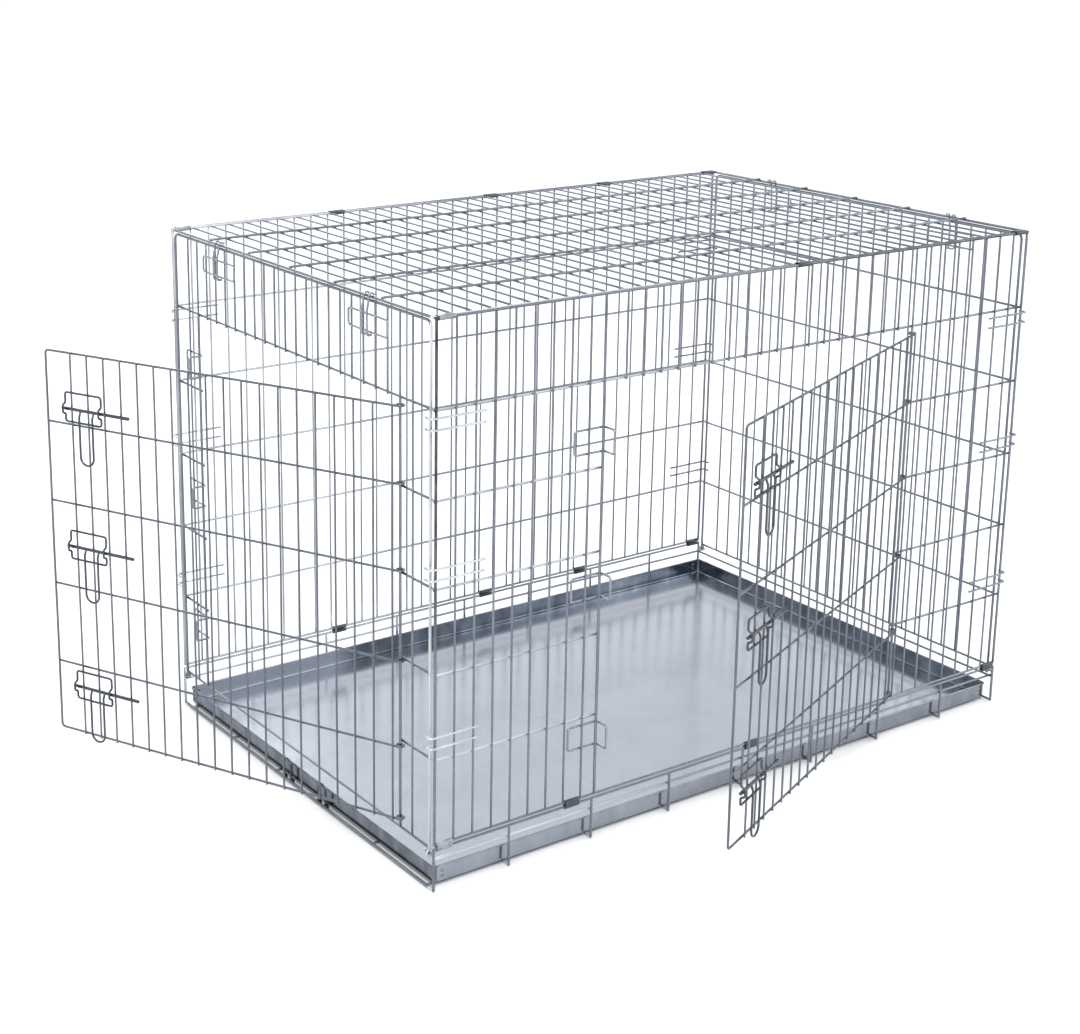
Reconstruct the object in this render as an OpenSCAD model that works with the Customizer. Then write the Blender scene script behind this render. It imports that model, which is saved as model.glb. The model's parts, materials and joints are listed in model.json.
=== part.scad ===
// Folding wire crate: welded wire panels held together by sheet-metal sleeves, end panels
// that fold inward, two swinging doors with sliding bolts, spring clips at the top of the
// ends, and a galvanised pan that slides over the floor wires.
// The origin is on the floor under the middle of the cage.  X runs along the cage from the
// end door to the plain end, Y from front to back, and Z up.

/* [Cage] */
// Spacing of the upright bars in the front, back and top
bar_pitch = 30; // [29:0.5:31]
// Distance between the front and back panels
cage_w = 710; // [700:5:720]
// Height of the top wires
cage_top = 770; // [765:5:790]
// Height of the lowest rail of the front and back panels
panel_foot = 68; // [66:1:70]
// Spacing of the upright bars in the end panels
end_pitch = 29; // [28.5:0.25:29]

/* [Wires] */
// Radius of an upright bar
bar_r = 1.5; // [1.4:0.1:1.6]
// Radius of a horizontal rail
rail_r = 1.8; // [1.7:0.1:1.9]
// Radius of the corner and opening uprights
frame_r = 2; // [1.9:0.1:2.1]
// Radius of the wires bent into hooks, loops and clips
hook_r = 1.6; // [1.5:0.1:1.6]

/* [Doors] */
// Width of the front door, from its hinge to its free edge
front_door_w = 586; // [580:1:590]
// Width of the end door
end_door_w = 575; // [572:1:578]
// How far the front door stands open, in degrees
front_door_ajar = 22.6; // [5:0.1:60]
// How far the end door stands open, in degrees
end_door_ajar = 26.1; // [5:0.1:60]
// Height of the doors' top wire
door_top = 643; // [640:1:644]
// Height of the doors' bottom wire
door_foot = 74; // [74:1:76]

/* [Pan] */
// Length of the pan
pan_l = 1070; // [1060:2:1070]
// Width of the pan
pan_w = 692; // [684:2:692]
// Depth of the pan
pan_h = 26; // [24:1:28]
// Thickness of its sheet
sheet = 0.8; // [0.7:0.1:1]

/* [Hidden] */
$fn = 24;
weld = 0.3; // how far two crossing wires sink into each other
gap = 0.5; // running clearance between loose wires
elbow = 1.02; // how much fuller than the wire an elbow is

// long panels
half_l = 18 * bar_pitch;
half_w = cage_w / 2;
cells = 6;
cell_h = (cage_top - panel_foot) / cells;
levels = [for (k = [1:cells - 1]) panel_foot + k * cell_h];
top_level = levels[len(levels) - 1];
rail_y = bar_r + rail_r - weld; // rails lie inside the bars
opening_left = -9.2 * bar_pitch;
opening_right = 10 * bar_pitch;
split_z = top_level - rail_r - weld; // where the header's bars meet the ones below
bar_start = panel_foot + rail_r - 0.4;

// end panels
end_x = half_l + 1;
end_half = half_w - 10.2;
end_top = cage_top - 5;
end_corner = 10; // radius of an end panel's top corners
end_foot = 61;
fold_z = 53; // height of the pins that the end panels fold on
end_opening = 9.5 * end_pitch;
eye_r = rail_r + gap + hook_r; // centre-line radius of an eye round a pin

// base
floor_r = 1.5;
cross_r = 1.8;
cross_z = 2 * floor_r + cross_r - weld;
cross_x = [for (k = [-3:3]) 140 * k];
long_y = [for (k = [-2.5:2.5]) 134 * k];
end_wire_z = 4;
base_rail_z = 62;
base_low_z = 46;
right_rail_z = 44;

// top
top_side = half_w - 6;
top_rail_y = [for (k = [-2:2]) 2 * top_side * k / 6];
top_rail_z = cage_top + bar_r + cross_r - weld;

// sleeves round two parallel wires
sleeve_l = 24;
sleeve_in = rail_r + 0.6;
sleeve_out = sleeve_in + 0.8;
front_bottom_x = [for (k = [-17.5, -10.5, 0.5, 17.5]) bar_pitch * k];
back_bottom_x = [for (k = [-8.5, 1.5, 8.5, 17.5]) bar_pitch * k];
front_top_x = [for (k = [-17.5, 2.5, 17.5]) bar_pitch * k];
back_top_x = [for (k = [-17.5, -8.5, 1.5, 9.5, 17.5]) bar_pitch * k];

// doors: x runs from the hinge towards the free edge, y points out of the cage
knuckle_r = 5;
door_frame_r = 1.7;
door_rail_r = 1.6;
door_bar_r = 1.4;
first_bar = 7;
door_spaces = 18;
edge_cell = 46; // width of the cell beside the free edge
rail_end = 2.5; // how far the grid's rails run past its last bar
door_rails = [178, 298, 423, 540];
door_bar_y = knuckle_r + door_rail_r + door_bar_r - weld;
door_face = door_bar_y + door_bar_r; // outer face of the door's bars
edge_z = [door_foot + 5, door_top - 5]; // ends of the straight part of the free edge

// bolts and what they run in
rod_r = 2.4;
rod_y = door_face + gap + rod_r;
rod_l = 115;
rod_reach = 66; // how far the drawn-back tip lies past the guide's far side
guide_w = 63;
front_guide = 84; // distance of the guides' far side from the free edge
end_guide = 100;
guide_y = door_face + hook_r - weld;
bulge_y = rod_y + rod_r + gap + hook_r;
finger_y = guide_y + 2 * hook_r + 1.8;
finger_w = 23;
finger_drop = 66;
bolt_z = [565, 362, 148];
keeper_z = [-7, 26]; // lower and upper wire of a keeper, from the rod's height
keeper_out = 19;
keeper_flat = 49;

// top clips
clip_y = 7 * end_pitch;
clip_w = 12;
clip_out = 7.5;
clip_r = 1.5;
clip_ring = 4.6;
clip_foot_z = cage_top - 50;
loop_z = [cage_top - 45.5, cage_top - 22.5];
loop_w = 94;

// corner hooks
hook_z = [213, 441, 637];
hook_gap = 15;
hook_l = 82;

// pan
pan_z = cross_z + cross_r + 0.2;
pan_top = pan_z + pan_h;
hem = 2.4;
rivet_z = [pan_z + 9, pan_z + 17];
stop_y = [-70, 28];
stop_w = 20;
stop_r = 1.5;
stop_ring = frame_r + gap + hook_r;
stop_leg = 23; // height of the straight legs above the end wire

function bar_x(k) = k == -9 ? opening_left : k * bar_pitch;
function panel_bars(from, to) = [for (k = [from:to]) k * bar_pitch];
function front_bars(from, to) = [for (k = [from:to]) bar_x(k)];
function end_bars(from, to) = [for (k = [from:to]) (k + 0.5) * end_pitch];

// a straight wire from a to b
module wire(a, b, r) {
    v = b - a;
    l = norm(v);
    translate(a) rotate([0, acos(v[2] / l), atan2(v[1], v[0])]) cylinder(r = r, h = l);
}

// a bent wire along a list of points, with round elbows and round ends
module bent(points, r) {
    for (k = [1:len(points) - 1]) wire(points[k - 1], points[k], r);
    for (p = points) translate(p) sphere(r = elbow * r);
}

// a wire curled round the z axis
module curl(radius, from, to, r) {
    rotate([0, 0, from]) rotate_extrude(angle = to - from) translate([radius, 0]) circle(r = r);
}

// upright bars of a panel, in the panel's own plane
module bars(xs, from, to, r) {
    for (x = xs) translate([x, 0, from]) cylinder(r = r, h = to - from);
}

// horizontal rails, y away from the bars' plane towards the inside
module rails(zs, from, to, r, y) {
    for (z = zs) translate([from, y, z]) rotate([0, 90, 0]) cylinder(r = r, h = to - from);
}

// panel frames: x along the panel, y towards the inside of the cage
module front_side() {
    translate([0, -half_w, 0]) children();
}
module back_side() {
    translate([0, half_w, 0]) rotate([0, 0, 180]) children();
}
module left_side() {
    translate([-end_x, 0, 0]) rotate([0, 0, -90]) children();
}
module right_side() {
    translate([end_x, 0, 0]) rotate([0, 0, 90]) children();
}
module both_ways() {
    children();
    mirror([0, 1, 0]) children();
}

// ---- base ----

module base_floor_grid() color([0.60, 0.63, 0.67]) {
    for (x = cross_x) wire([x, -half_w, cross_z], [x, half_w, cross_z], cross_r);
    for (y = long_y) wire([-end_x, y, floor_r], [end_x, y, floor_r], floor_r);
    for (x = [-end_x, end_x])
        wire([x, -half_w, end_wire_z], [x, half_w, end_wire_z], frame_r);
}

// uprights that the cross wires turn up into, with the hinge wire and the lower wire
module base_side_rail() color([0.60, 0.63, 0.67]) {
    bars(cross_x, cross_z, base_rail_z, cross_r);
    bars([-end_x, end_x], end_wire_z, base_rail_z, frame_r);
    rails([base_rail_z], -end_x, end_x, rail_r, 0);
    rails([base_low_z], -end_x, end_x, cross_r, 2 * cross_r - weld);
}

module base_front_rail() front_side() base_side_rail();
module base_back_rail() back_side() base_side_rail();

module base_right_rail() color([0.60, 0.63, 0.67])
    wire([end_x, -half_w, right_rail_z], [end_x, half_w, right_rail_z], cross_r);

module base_corner_pivots() color([0.56, 0.59, 0.63]) both_ways()
    for (x = [-end_x, end_x]) bent([[x, -half_w, fold_z], [x, 16 - half_w, fold_z]], rail_r);

// ---- front and back panels ----

module front_panel_header() color([0.62, 0.65, 0.69]) front_side() {
    bars(front_bars(-17, 17), split_z, cage_top, bar_r);
    bars([-half_l, half_l], split_z, cage_top, frame_r);
    rails([cage_top], -half_l, half_l, frame_r, 0);
    rails([top_level], -half_l, half_l, rail_r, rail_y);
    for (x = [-half_l, half_l]) translate([x, 0, cage_top]) sphere(r = frame_r);
}

// the fixed part of the front beside the door opening, between two frame uprights
module front_side_part(from, to) color([0.62, 0.65, 0.69]) front_side() {
    bars(front_bars(from + 1, to - 1), bar_start, split_z, bar_r);
    bars([bar_x(from), bar_x(to)], bar_start, split_z, frame_r);
    rails([for (k = [0:3]) levels[k]], bar_x(from), bar_x(to), rail_r, rail_y);
}

module front_panel_left() front_side_part(-18, -9);
module front_panel_right() front_side_part(10, 18);

module front_panel_sill() color([0.62, 0.65, 0.69])
    front_side() rails([panel_foot], -half_l, half_l, rail_r, 0);

module back_panel() color([0.62, 0.65, 0.69]) back_side() {
    bars(panel_bars(-17, 17), panel_foot, cage_top, bar_r);
    bars([-half_l, half_l], panel_foot, cage_top, frame_r);
    rails([panel_foot], -half_l, half_l, rail_r, 0);
    rails([cage_top], -half_l, half_l, frame_r, 0);
    rails(levels, -half_l, half_l, rail_r, rail_y);
    for (x = [-half_l, half_l]) translate([x, 0, cage_top]) sphere(r = frame_r);
}

module top_panel() color([0.62, 0.65, 0.69]) {
    for (x = panel_bars(-17, 17)) wire([x, -top_side, cage_top], [x, top_side, cage_top], bar_r);
    for (y = top_rail_y) wire([-end_x, y, top_rail_z], [end_x, y, top_rail_z], cross_r);
    for (y = [-top_side, top_side]) wire([-end_x, y, cage_top], [end_x, y, cage_top], rail_r);
    for (x = [-end_x, end_x]) {
        wire([x, -top_side, cage_top], [x, top_side, cage_top], frame_r);
        for (y = [-top_side, top_side]) translate([x, y, cage_top]) sphere(r = frame_r);
    }
}

// ---- sheet-metal sleeves that hinge neighbouring panels ----

module slot_2d(r, apart) {
    circle(r = r);
    translate([apart, 0]) circle(r = r);
    translate([0, -r]) square([apart, 2 * r]);
}

// a sleeve along x round two wires that lie "apart" from each other, open along a seam
module sleeve(apart) {
    rotate([90, 0, 90]) translate([0, 0, -sleeve_l / 2]) linear_extrude(sleeve_l) difference() {
        slot_2d(sleeve_out, apart);
        slot_2d(sleeve_in, apart);
        translate([apart / 2 - 0.6, 0]) square([1.2, 2 * sleeve_out]);
    }
}

module bottom_sleeves(xs) color([0.40, 0.42, 0.46])
    for (x = xs) translate([x, 0, panel_foot]) rotate([-90, 0, 0])
        sleeve(panel_foot - base_rail_z);

module top_sleeves(xs) color([0.40, 0.42, 0.46])
    for (x = xs) translate([x, half_w - top_side, cage_top]) rotate([180, 0, 0])
        sleeve(half_w - top_side);

module front_bottom_sleeves() front_side() bottom_sleeves(front_bottom_x);
module back_bottom_sleeves() back_side() bottom_sleeves(-back_bottom_x);
module front_top_sleeves() front_side() top_sleeves(front_top_x);
module back_top_sleeves() back_side() top_sleeves(-back_top_x);

// ---- hooks that hold the end panels' corner uprights ----

// three pairs of wires along the panel, curled round the corner at its left
module corner_hooks() color([0.66, 0.69, 0.73]) {
    y = -(bar_r + hook_r - weld);
    tip = -end_x - 8;
    back_end = tip + hook_l;
    for (z = hook_z, side = [-0.5, 0.5]) translate([0, 0, z + side * hook_gap])
        bent([[back_end, -3 + bar_r, 0], [back_end, y, 0], [tip, y, 0], [tip, 10, 0]], hook_r);
}

module front_left_hooks() front_side() corner_hooks();
module front_right_hooks() mirror([1, 0, 0]) front_side() corner_hooks();
module back_left_hooks() mirror([0, 1, 0]) front_side() corner_hooks();
module back_right_hooks() mirror([0, 1, 0]) mirror([1, 0, 0]) front_side() corner_hooks();

// ---- keepers: loops that reach through the closed door and take the bolts ----

module keepers(latch_x) color([0.50, 0.53, 0.58]) {
    y = bar_r + hook_r - weld;
    out_x = latch_x + frame_r + hook_r - 0.2;
    for (z = bolt_z) translate([0, 0, z]) {
        for (dz = keeper_z)
            bent([[out_x - keeper_flat, y, dz], [out_x - 1.5, y, dz], [out_x, y - 2, dz],
                [out_x, -keeper_out, dz]], hook_r);
        for (p = [[out_x - keeper_flat, y], [out_x, -keeper_out]])
            wire([p[0], p[1], keeper_z[0]], [p[0], p[1], keeper_z[1]], hook_r);
    }
}

module front_keepers() front_side() keepers(opening_left);
module end_keepers() left_side() keepers(-end_opening);

// ---- end panels ----

// corner uprights from a given height and the top rail, with rounded corners between
module end_frame(from) {
    run = end_half - end_corner;
    bars([-end_half, end_half], from, end_top - end_corner, frame_r);
    rails([end_top], -run, run, frame_r, 0);
    for (side = [0, 1]) translate([(1 - 2 * side) * run, 0, end_top - end_corner])
        rotate([90, 0, 0]) curl(end_corner, 90 * side, 90 * side + 90, frame_r);
}

// eye at the foot of a corner upright, round the base's pin
module eye(x) {
    translate([x, 0, fold_z]) rotate([90, 0, 90]) curl(eye_r, 0, 360, hook_r);
}

module left_end_header() color([0.62, 0.65, 0.69]) left_side() {
    bars(end_bars(-11, 10), split_z, end_top, bar_r);
    end_frame(split_z);
    rails([top_level], -end_half, end_half, rail_r, rail_y);
}

// the narrow part between the corner upright and the opening's upright
module left_end_strip() color([0.62, 0.65, 0.69]) {
    bars([end_opening + end_pitch], end_foot, split_z, bar_r);
    bars([end_opening, end_half], end_foot, split_z, frame_r);
    translate([end_half, 0, fold_z + eye_r]) cylinder(r = frame_r, h = end_foot - fold_z);
    rails([for (k = [0:3]) levels[k]], end_opening, end_half, rail_r, rail_y);
    eye(end_half);
}

module left_end_front_strip() left_side() left_end_strip();
module left_end_back_strip() left_side() mirror([1, 0, 0]) left_end_strip();

module left_end_sill() color([0.62, 0.65, 0.69])
    left_side() rails([end_foot], -end_half, end_half, rail_r, 0);

module right_end_panel() color([0.62, 0.65, 0.69]) right_side() {
    bars(end_bars(-11, 10), end_foot, end_top, bar_r);
    end_frame(fold_z + eye_r);
    rails([end_foot], -end_half, end_half, rail_r, 0);
    rails(levels, -end_half, end_half, rail_r, rail_y);
    for (x = [-end_half, end_half]) eye(x);
}

// flat loops on the outside of an end panel, which its two clips snap under
module clip_loops() color([0.50, 0.53, 0.58]) {
    y = -(bar_r + clip_r - weld);
    for (x = [-clip_y, clip_y]) {
        a = x - loop_w / 2;
        b = x + loop_w / 2;
        bent([[a, y, loop_z[0]], [b, y, loop_z[0]], [b, y, loop_z[1]], [a, y, loop_z[1]],
            [a, y, loop_z[0]]], clip_r);
    }
}

module left_clip_loops() left_side() clip_loops();
module right_clip_loops() right_side() clip_loops();

// a hairpin that hangs on the top's end wire, its foot under the loop
module clip(x) color([0.45, 0.48, 0.53]) {
    for (side = [-1, 1]) translate([x + side * clip_w / 2, 0, 0]) {
        translate([0, 0, cage_top]) rotate([90, 0, 90]) curl(clip_ring, 30, 180, clip_r);
        bent([[0, -clip_ring, cage_top], [0, -clip_ring, cage_top - 4],
            [0, -clip_out, cage_top - 18], [0, -clip_out, clip_foot_z],
            [0, -1, clip_foot_z]], clip_r);
    }
    wire([x - clip_w / 2, -1, clip_foot_z], [x + clip_w / 2, -1, clip_foot_z], clip_r);
}

module left_front_clip() left_side() clip(clip_y);
module left_back_clip() left_side() clip(-clip_y);
module right_front_clip() right_side() clip(-clip_y);
module right_back_clip() right_side() clip(clip_y);

// ---- doors ----

module front_door_place()
    front_side() translate([opening_right, 0, 0]) rotate([0, 0, 180 + front_door_ajar]) children();
module end_door_place()
    left_side() translate([end_opening, 0, 0]) rotate([0, 0, 180 + end_door_ajar]) children();

// the end of a wire, curled loosely round the hinge upright
module knuckle(z, r) {
    translate([0, 0, z]) curl(knuckle_r, 90, 360, r);
}

module door_grid(w) color([0.58, 0.61, 0.66]) {
    last = w - edge_cell;
    pitch = (last - first_bar) / door_spaces;
    for (k = [0:door_spaces]) translate([first_bar + k * pitch, door_bar_y, door_foot])
        cylinder(r = door_bar_r, h = door_top - door_foot);
    for (z = [door_foot, door_top]) {
        wire([0, knuckle_r, z], [last + rail_end, knuckle_r, z], door_frame_r);
        knuckle(z, door_frame_r);
    }
    for (z = door_rails) {
        wire([0, knuckle_r, z], [last + rail_end, knuckle_r, z], door_rail_r);
        knuckle(z, door_rail_r);
    }
}

// the free edge, with the last stretch of each rail
module door_edge(w) color([0.58, 0.61, 0.66]) {
    from = w - edge_cell + rail_end;
    for (z = [door_foot, door_top]) wire([from, knuckle_r, z], [w - 5, knuckle_r, z], door_frame_r);
    bent([[w - 5, knuckle_r, door_foot], [w, knuckle_r, edge_z[0]], [w, knuckle_r, edge_z[1]],
        [w - 5, knuckle_r, door_top]], door_frame_r);
    for (z = door_rails) wire([from, knuckle_r, z], [w, knuckle_r, z], door_rail_r);
}

module front_door_grid() front_door_place() door_grid(front_door_w);
module front_door_edge() front_door_place() door_edge(front_door_w);
module end_door_grid() end_door_place() door_grid(end_door_w);
module end_door_edge() end_door_place() door_edge(end_door_w);

// wire loops on the door's face; their sides bulge over the rods
module bolt_guides(w, from_edge) color([0.45, 0.48, 0.53]) {
    a = w - from_edge;
    for (z = bolt_z) translate([0, 0, z]) {
        for (x = [a, a + guide_w])
            bent([[x, guide_y, 23], [x, guide_y, 8], [x, bulge_y, 5.5], [x, bulge_y, -5.5],
                [x, guide_y, -8], [x, guide_y, -19]], hook_r);
        for (dz = [23, -19]) wire([a, guide_y, dz], [a + guide_w, guide_y, dz], hook_r);
    }
}

module front_bolt_guides() front_door_place() bolt_guides(front_door_w, front_guide);
module end_bolt_guides() end_door_place() bolt_guides(end_door_w, end_guide);

// a sliding rod with a hanging finger loop
module bolt(guide_x, z) color([0.42, 0.45, 0.50]) translate([0, 0, z]) {
    tip = guide_x + rod_reach;
    from = guide_x + 12;
    mid = from + finger_w / 2;
    wire([tip - rod_l, rod_y, 0], [tip, rod_y, 0], rod_r);
    translate([tip, rod_y, 0]) sphere(r = rod_r);
    for (x = [from, from + finger_w]) {
        wire([x, rod_y, 0], [x, finger_y, -9], hook_r);
        translate([x, finger_y, -9]) sphere(r = elbow * hook_r);
        wire([x, finger_y, -9], [x, finger_y, -finger_drop], hook_r);
    }
    translate([mid, finger_y, -finger_drop]) rotate([90, 0, 0])
        curl(finger_w / 2, 180, 360, hook_r);
}

module front_bolt_top() front_door_place() bolt(front_door_w - front_guide, bolt_z[0]);
module front_bolt_middle() front_door_place() bolt(front_door_w - front_guide, bolt_z[1]);
module front_bolt_bottom() front_door_place() bolt(front_door_w - front_guide, bolt_z[2]);
module end_bolt_top() end_door_place() bolt(end_door_w - end_guide, bolt_z[0]);
module end_bolt_middle() end_door_place() bolt(end_door_w - end_guide, bolt_z[1]);
module end_bolt_bottom() end_door_place() bolt(end_door_w - end_guide, bolt_z[2]);

// ---- pan and its stops ----

// a block of the pan's plan size, grown by "more" all round
module pan_block(more, from, to) {
    translate([-pan_l / 2 - more, -pan_w / 2 - more, from])
        cube([pan_l + 2 * more, pan_w + 2 * more, to - from]);
}

module rivet_places() {
    for (x = [-1, 1], z = rivet_z) translate([x * (pan_l / 2 - 14), -pan_w / 2, z])
        rotate([90, 0, 0]) children();
}

module tray() color([0.66, 0.70, 0.76]) difference() {
    union() {
        pan_block(0, pan_z, pan_top);
        pan_block(1, pan_top - hem, pan_top);
    }
    pan_block(-sheet, pan_z + sheet, pan_top + 1);
    both_ways() rivet_places() translate([0, 0, -sheet - 1]) cylinder(r = 1.6, h = sheet + 2);
}

module tray_rivets() color([0.45, 0.47, 0.52]) both_ways() rivet_places() {
    translate([0, 0, -sheet - 0.6]) cylinder(r = 1.5, h = sheet + 1);
    cylinder(r = 3, h = 0.9);
    translate([0, 0, -sheet - 0.8]) cylinder(r = 2.6, h = 0.8);
}

// a hairpin curled round the base's end wire that stands against the pan's end
module tray_stop(y) color([0.36, 0.38, 0.43]) translate([-end_x, y, end_wire_z]) {
    for (side = [-1, 1]) translate([0, side * stop_w / 2, 0]) {
        rotate([90, 0, 0]) curl(stop_ring, -40, 110, hook_r);
        wire([0, 0, stop_ring], [0, 0, stop_leg], stop_r);
    }
    translate([0, 0, stop_leg]) rotate([90, 0, 90]) curl(stop_w / 2, 0, 180, stop_r);
}

module tray_stop_front() tray_stop(stop_y[0]);
module tray_stop_back() tray_stop(stop_y[1]);

base_floor_grid();
base_front_rail();
base_back_rail();
base_right_rail();
base_corner_pivots();
front_panel_header();
front_panel_left();
front_panel_right();
front_panel_sill();
back_panel();
top_panel();
front_bottom_sleeves();
back_bottom_sleeves();
front_top_sleeves();
back_top_sleeves();
front_left_hooks();
front_right_hooks();
back_left_hooks();
back_right_hooks();
front_keepers();
left_end_header();
left_end_front_strip();
left_end_back_strip();
left_end_sill();
left_clip_loops();
end_keepers();
right_end_panel();
right_clip_loops();
front_door_grid();
front_door_edge();
front_bolt_guides();
front_bolt_top();
front_bolt_middle();
front_bolt_bottom();
end_door_grid();
end_door_edge();
end_bolt_guides();
end_bolt_top();
end_bolt_middle();
end_bolt_bottom();
left_front_clip();
left_back_clip();
right_front_clip();
right_back_clip();
tray();
tray_rivets();
tray_stop_front();
tray_stop_back();
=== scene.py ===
"""Looks for the folding wire crate: zinc-plated wires, welds, sleeves and a galvanised pan.

Every wire is swept again, finer and with real bends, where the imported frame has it.
Everything is in metres, in the frame's own axes: X along the crate, Y to the back, Z up.
"""

import json
import math
import random

import bpy
from mathutils import Matrix, Vector, noise


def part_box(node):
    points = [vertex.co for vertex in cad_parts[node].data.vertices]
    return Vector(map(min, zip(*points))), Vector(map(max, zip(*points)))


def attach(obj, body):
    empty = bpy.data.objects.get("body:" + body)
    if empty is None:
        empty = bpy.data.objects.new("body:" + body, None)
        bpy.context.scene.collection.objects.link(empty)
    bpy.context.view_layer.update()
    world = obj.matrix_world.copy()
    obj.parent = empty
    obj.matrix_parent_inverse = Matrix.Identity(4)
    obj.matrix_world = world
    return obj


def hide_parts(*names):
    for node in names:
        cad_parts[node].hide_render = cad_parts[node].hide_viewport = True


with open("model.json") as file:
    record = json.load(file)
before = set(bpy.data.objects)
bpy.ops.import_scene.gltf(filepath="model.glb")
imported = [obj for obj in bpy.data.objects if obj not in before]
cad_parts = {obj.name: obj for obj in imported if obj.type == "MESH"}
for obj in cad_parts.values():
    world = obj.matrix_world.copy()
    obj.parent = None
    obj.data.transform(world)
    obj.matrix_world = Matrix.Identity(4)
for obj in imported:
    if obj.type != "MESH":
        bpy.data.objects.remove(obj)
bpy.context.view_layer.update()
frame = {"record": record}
joints = {j["name"]: j for j in frame["record"]["behaviour"]["joints"]}
MM = 0.001


# ---- places and sizes, read from the frame ----


def low(node, axis):
    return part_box(node)[0]["xyz".index(axis)]


def high(node, axis):
    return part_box(node)[1]["xyz".index(axis)]


def middle(node, axis):
    return (low(node, axis) + high(node, axis)) / 2


def thickness(node, axis):
    return high(node, axis) - low(node, axis)


HALF_L = high("front_panel_sill", "x")
HALF_W = -middle("front_panel_sill", "y")
FOOT_Z = middle("front_panel_sill", "z")
RAIL_R = thickness("front_panel_sill", "z") / 2
FRAME_R = high("back_panel", "x") - HALF_L
TOP_Z = high("back_panel", "z") - FRAME_R
END_X = -middle("left_end_sill", "x")
END_HALF = high("left_end_sill", "y")
END_FOOT = middle("left_end_sill", "z")
END_TOP = high("left_end_header", "z") - FRAME_R
FOLD_Z = middle("base_corner_pivots", "z")
BASE_RAIL_Z = high("base_front_rail", "z") - RAIL_R

BAR_R = 1.5 * MM
CROSS_R = 1.8 * MM
HOOK_R = 1.6 * MM
CELLS = 6  # rows of cells between the rails
LAST_BAR = 18  # uprights are counted from the middle of the front and back
BAR_PITCH = 2 * HALF_L / (2 * LAST_BAR)
LEVELS = [FOOT_Z + k * (TOP_Z - FOOT_Z) / CELLS for k in range(1, CELLS)]
WELD = 0.3 * MM  # how far crossing wires sink into each other
RAIL_Y = BAR_R + RAIL_R - WELD
SPLIT_Z = LEVELS[-1] - RAIL_R - WELD
LATCH_BAR, HINGE_BAR = -9, 10  # the uprights beside the front doorway
OPENING_LEFT = -9.2 * BAR_PITCH
END_PITCH = 29 * MM
END_OPENING = 9.5 * END_PITCH
BOLT_Z = (565 * MM, 362 * MM, 148 * MM)
SHEET = 0.8 * MM

# ---- wires ----

SIDES = 12
SPACING = 0.045  # longest stretch of a wire between two rings
WANDER = 0.35 * MM  # how far hand-straightened wire strays
WANDER_SCALE = 7.0
WELD_SIZE = 1.9 * MM
SMALL_WELD = 1.8 * MM
WELD_FLAT = 0.8  # a weld spot's height to its width
rng = random.Random(7)
noise.seed_set(7)  # or the wander takes its seed from the clock


def rounded(points, bend, steps=5):
    """The polyline with its inner corners rounded to the radius bend."""
    points = [Vector(p) for p in points]
    path = [points[0]]
    for before, corner, after in zip(points, points[1:], points[2:]):
        a, b = (before - corner), (after - corner)
        turn = math.pi - a.angle(b)
        if turn < 1e-3:
            continue
        back = min(bend * math.tan(turn / 2), 0.49 * a.length, 0.49 * b.length)
        start, end = corner + a.normalized() * back, corner + b.normalized() * back
        for k in range(steps + 1):
            t = k / steps
            path.append((1 - t) ** 2 * start + 2 * t * (1 - t) * corner + t * t * end)
    path.append(points[-1])
    return path


def ring_path(centre, radius, start, end, u, v, steps=20):
    """An arc round centre in the plane of u and v, angles in degrees."""
    u, v, centre = Vector(u), Vector(v), Vector(centre)
    path = []
    for k in range(steps + 1):
        a = math.radians(start + (end - start) * k / steps)
        path.append(centre + radius * (math.cos(a) * u + math.sin(a) * v))
    return path


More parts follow.
